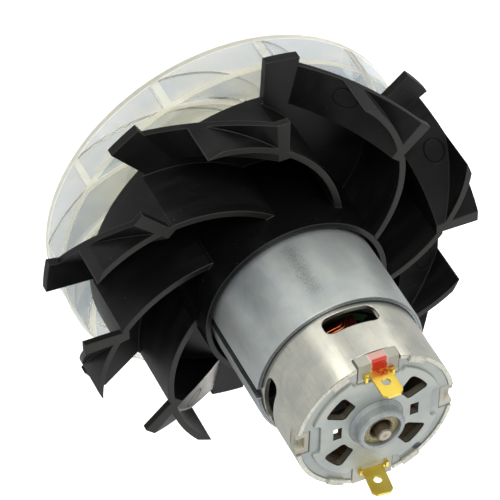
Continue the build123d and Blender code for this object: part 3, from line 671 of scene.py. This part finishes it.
dressing = (
    (can_zinc(), "motor_can"),
    (ring_zinc(), "flux_ring"),
    (end_plate_zinc(), "end_plate"),
    (nylon(), "brush_carrier"),
    (sintered_bronze(), "rear_bearing", "front_bearing"),
    (shaft_steel(), "motor_shaft"),
    (black_plastic(), "diffuser"),
    (clear_plastic(), "impeller_plate", "impeller_shroud"),
    (laminated_steel(), "armature_core"),
    (terminal_brass(), "terminal_positive", "terminal_negative"),
    (bare_metal("spring bronze", rgba(196, 150, 92), rgba(150, 108, 62), 0.32,
                stretch=(1.0, 1.0, 0.2)), "brush_arm_positive", "brush_arm_negative"),
    (dull_body("carbon", rgba(44, 44, 46), rgba(26, 26, 28), 0.55),
     "brush_positive", "brush_negative"),
    (dull_body("ferrite", rgba(66, 66, 70), rgba(44, 44, 48), 0.5, scale=1500.0),
     "field_magnet_north", "field_magnet_south"),
    (bare_metal("spring steel", rgba(150, 152, 154), rgba(108, 110, 114), 0.34), "magnet_clips"),
    (dull_body("green insulator", rgba(44, 92, 58), rgba(30, 66, 42), 0.42),
     "core_insulator_front", "core_insulator_rear"),
    (bare_metal("packed wire", rgba(120, 48, 28), rgba(58, 22, 14), 0.45, scale=1400.0,
                bump=0.2 * mm), "winding_1", "winding_2", "winding_3"),
    (dull_body("phenolic", rgba(58, 42, 32), rgba(36, 26, 20), 0.45), "commutator_hub"),
    (bare_metal("commutator copper", rgba(204, 134, 92), rgba(140, 84, 58), 0.28,
                stretch=(0.05, 0.05, 4.0)), "commutator_bars"),
    (dull_body("washer fibre", rgba(120, 96, 66), rgba(84, 64, 44), 0.6), "thrust_washers"),
    (bare_metal("spacer brass", rgba(206, 176, 104), rgba(170, 138, 74), 0.34), "shaft_spacer"),
    (bare_metal("insert brass", rgba(212, 184, 110), rgba(176, 146, 78), 0.3), "impeller_bush"),
    (bare_metal("screw zinc", rgba(206, 208, 204), rgba(160, 164, 164), 0.32), "diffuser_screws"),
)
for finish, *names in dressing:
    for name in names:
        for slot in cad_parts[name].material_slots:
            slot.material = finish


# New pieces: the wires of the windings

def add_mesh(name, points, faces, finish, body):
    """A smooth mesh in one finish, which moves with its body."""
    mesh = bpy.data.meshes.new(name)
    mesh.from_pydata(points.tolist(), [], faces.tolist())
    mesh.polygons.foreach_set("use_smooth", np.ones(len(mesh.polygons), dtype=bool))
    mesh.materials.append(finish)
    mesh.update()
    piece = bpy.data.objects.new(name, mesh)
    bpy.context.scene.collection.objects.link(piece)
    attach(piece, body)


def tubes(paths, radius, sides, closed):
    """Round wires along many paths at once. paths is wires by points by 3; each ring of points
    stands square to the path, on two directions made from its tangent and the cross products
    with a slanted fixed one."""
    if closed:
        tangent = np.roll(paths, -1, 1) - np.roll(paths, 1, 1)
    else:
        tangent = np.gradient(paths, axis=1)
    tangent /= np.linalg.norm(tangent, axis=-1, keepdims=True)
    side = np.cross(tangent, np.array([0.36, 0.48, 0.8]))
    side /= np.linalg.norm(side, axis=-1, keepdims=True)
    other = np.cross(tangent, side)
    turn = np.linspace(0, 2 * np.pi, sides, endpoint=False)[:, None]
    ring = (np.cos(turn) * side[:, :, None, :] + np.sin(turn) * other[:, :, None, :]) * radius
    points = paths[:, :, None, :] + ring
    wires, steps = points.shape[:2]
    grid = np.arange(wires * steps * sides).reshape(wires, steps, sides)
    ahead = np.roll(grid, -1, 1) if closed else grid[:, 1:]
    here = grid if closed else grid[:, :-1]
    faces = np.stack([here, ahead, np.roll(ahead, -1, 2), np.roll(here, -1, 2)], -1).reshape(-1, 4)
    return points.reshape(-1, 3), faces[:, ::-1]


def about_axis(points, degrees):
    """Points turned about the motor axis."""
    turn = math.radians(degrees)
    matrix = np.array([[math.cos(turn), -math.sin(turn), 0], [math.sin(turn), math.cos(turn), 0],
                       [0, 0, 1]])
    return points @ matrix.T


def squarish(wave):
    """A sine or cosine with its size raised to the power 2/7, which squares off a circle."""
    return np.sign(wave) * np.abs(wave) ** (2 / 7)


def coil_turns(number, finish):
    """The outer turns of one coil, in millimetres: twelve side by side along the pole's neck
    and seven that narrow over them at the shoe. The y and z of a turn are its half width and
    half height times the squared-off cosine and sine of the way round it, swayed a little by
    slower sines. The turns further out than 9 mm, where the screws' tips stand, are 3.5 per
    cent shorter at the front. Between the ends of the pole's shoe no turn comes further out
    than the shoe's inner face."""
    along_neck, at_shoe = 12, 7
    screws_from, front_share = 9.0, 0.965
    shoe_inner, shoe_end, shoe_rise = 9.6, 15.2, 1.2
    sway_size, lift_size = 0.09, 0.12
    points_per_turn, sides = 56, 7
    random = np.random.default_rng(40 + number)

    def per_turn(neck, shoe):
        """Even steps over the neck's turns, then over the shoe's, one row for each turn."""
        return np.concatenate([np.linspace(*neck, along_neck), np.linspace(*shoe, at_shoe)])[:, None]

    out_from_axis = per_turn((5.5, 10.6), (10.75, 10.75))
    half_width = per_turn((5.98, 5.98), (5.6, 3.1))
    half_height = per_turn((20.6, 20.6), (20.15, 15.6))
    each = out_from_axis.shape
    turn = np.linspace(0, 2 * np.pi, points_per_turn, endpoint=False)[None, :]
    sway = random.normal(0, sway_size, each) * np.sin(turn * 2 + random.uniform(0, 6, each))
    lift = random.normal(0, lift_size, each) * np.cos(turn + random.uniform(0, 6, each))
    y = (half_width + sway) * squarish(np.cos(turn))
    z = (half_height + lift * 0.7) * squarish(np.sin(turn))
    z = np.where((z < 0) & (out_from_axis > screws_from), z * front_share, z)
    past_shoe = np.clip((np.abs(z) - shoe_end) / shoe_rise, 0, 1)
    x = out_from_axis + sway * 1.2
    x = np.where(x > shoe_inner, shoe_inner + (x - shoe_inner) * past_shoe, x)
    paths = np.stack([x * mm, y * mm, z * mm + core_middle], -1)
    points, faces = tubes(paths, wire_radius, sides, True)
    points = about_axis(points, first_pole + coil_pitch * (number - 1))
    add_mesh(f"coil_turns_{number}", points, faces, finish, "rotor")


def coil_leads(finish):
    """Wires from each coil's two rear corners to the commutator's hooks, in millimetres, on
    cubic curves that leave the coil along the axis and bend out round the hook."""
    corner, hook = (8.6, 4.6, 66.9), (5.55, 0.5, 71.2)
    rear_pull, hook_lift = np.array([0, 0, 2.6]), np.array([0, 0, 0.4])
    hook_spread = np.array([1.45, 1.45, 1])
    share = np.linspace(0, 1, 26)[:, None]
    paths = []
    for pole in range(first_pole, first_pole + coil_count * coil_pitch, coil_pitch):
        for side in (-1, 1):
            start = about_axis(np.array([corner[0], side * corner[1], corner[2]]), pole)
            end = about_axis(np.array([hook[0], -side * hook[1], hook[2]]),
                             pole + side * coil_pitch / 2)
            first, second = start + rear_pull, end * hook_spread + hook_lift
            paths.append(start * (1 - share) ** 3 + 3 * first * share * (1 - share) ** 2
                         + 3 * second * share ** 2 * (1 - share) + end * share ** 3)
    points, faces = tubes(np.array(paths) * mm, wire_radius, 8, False)
    add_mesh("coil_leads", points, faces, finish, "rotor")


wire_finish = copper_wire()
for number in range(1, coil_count + 1):
    coil_turns(number, wire_finish)
coil_leads(wire_finish)


# Camera, floor and lights

camera_place = Vector((0.20694746, -0.47594656, 0.45432746))
camera_right = Vector((-0.9086028, -0.0140375, 0.4174253))
camera_up = Vector((-0.2867462, -0.7057040, -0.6478877))
camera_back = Vector((0.3036735, -0.7083677, 0.6371794))
camera_lens = 225.794
sensor_width = 36.0

floor_radius = 3.0
floor_sides = 96
floor_drop = 0.02 * mm
floor_grey = (0.6, 0.6, 0.6)
floor_glow = 0.12
floor_glow_through = 0.52

sky_tint = (0.97, 0.98, 1.0, 1.0)
sky_strength = 0.52
sky_strength_through = 0.8

big_box_size = (0.5, 0.5)
big_box_target = (0.0, 0.0, 40.0 * mm)
upper_box_place = (camera_right * 0.1 + camera_up * 0.35 + camera_back) * 0.9
upper_box_power = 4.1
back_box_place = (-0.25, 0.57, 0.52)
back_box_power = 0.95
low_box_height = 6.0 * mm
low_box_depth = 30.0 * mm
low_box_target = (0.0, 0.0, 75.0 * mm)
low_box_tint = (1.0, 0.97, 0.9)
low_boxes = (
    # Name, heading in degrees, distance from the axis and width in millimetres, power
    ("low left box", -66, 135, 34, 0.016),
    ("low middle box", -112, 137, 60, 0.01),
    ("low right box", -137, 138, 34, 0.013),
    ("low rear box", 119, 135, 34, 0.06),
)


def set_camera():
    """The photograph's camera, from its place, its three directions and its lens."""
    camera = bpy.data.objects.new("camera", bpy.data.cameras.new("camera"))
    camera.data.lens = camera_lens
    camera.data.sensor_width = sensor_width
    camera.data.clip_end = 10.0
    turned = Matrix((camera_right, camera_up, camera_back)).transposed().to_4x4()
    camera.matrix_world = Matrix.Translation(camera_place) @ turned
    bpy.context.scene.collection.objects.link(camera)
    bpy.context.scene.camera = camera


def soft_box(name, place, target, size, power, tint=(1.0, 1.0, 1.0)):
    """A lit rectangle that faces its target and isn't seen itself."""
    light = bpy.data.lights.new(name, "AREA")
    light.shape = "RECTANGLE"
    light.size, light.size_y = size
    light.energy = power
    light.color = tint
    lamp = bpy.data.objects.new(name, light)
    lamp.location = place
    lamp.rotation_euler = (Vector(target) - Vector(place)).to_track_quat("-Z", "Y").to_euler()
    lamp.visible_camera = False
    bpy.context.scene.collection.objects.link(lamp)


def make_floor():
    """A plain pale disc just under the lip: a rim of points on a circle, joined to its middle.
    It glows, more for the camera and through the clear plastic than for the other pieces."""
    turn = np.linspace(0, 2 * np.pi, floor_sides, endpoint=False)
    rim = np.stack([np.cos(turn) * floor_radius, np.sin(turn) * floor_radius, 0 * turn], -1)
    points = np.vstack([rim, [[0, 0, 0]]]) - [0, 0, floor_drop]
    here = np.arange(floor_sides)
    faces = np.stack([here, np.roll(here, -1), np.full(floor_sides, floor_sides)], -1)
    mesh = bpy.data.meshes.new("floor")
    mesh.from_pydata(points.tolist(), [], faces.tolist())
    floor = bpy.data.objects.new("floor", mesh)
    bpy.context.scene.collection.objects.link(floor)
    look = Finish("pale floor", floor_grey, 0.8)
    look.set("Emission Color", (1.0, 1.0, 1.0, 1.0))
    seen = look.put("LightPath").outputs
    glow = look.plus(seen["Is Camera Ray"], floor_glow)
    look.set("Emission Strength", look.rise(seen["Is Transmission Ray"], floor_glow_through, glow))
    floor.data.materials.append(look.material)


def make_world():
    """Even soft light all round, brighter through the clear plastic."""
    world = bpy.data.worlds.new("studio")
    world.use_nodes = True
    bpy.context.scene.world = world
    nodes = Wiring(world.node_tree)
    back = world.node_tree.nodes["Background"]
    back.inputs["Color"].default_value = sky_tint
    through = nodes.put("LightPath").outputs["Is Transmission Ray"]
    nodes.feed(back.inputs["Strength"], nodes.rise(through, sky_strength_through, sky_strength))


bpy.context.scene.view_settings.view_transform = "Standard"
set_camera()
make_floor()
make_world()
soft_box("upper box", upper_box_place, big_box_target, big_box_size, upper_box_power)
soft_box("back box", back_box_place, big_box_target, big_box_size, back_box_power)
for name, heading, distance, width, power in low_boxes:
    place = (distance * mm * math.cos(heading * degree), distance * mm * math.sin(heading * degree),
             low_box_height)
    soft_box(name, place, low_box_target, (width * mm, low_box_depth), power, low_box_tint)
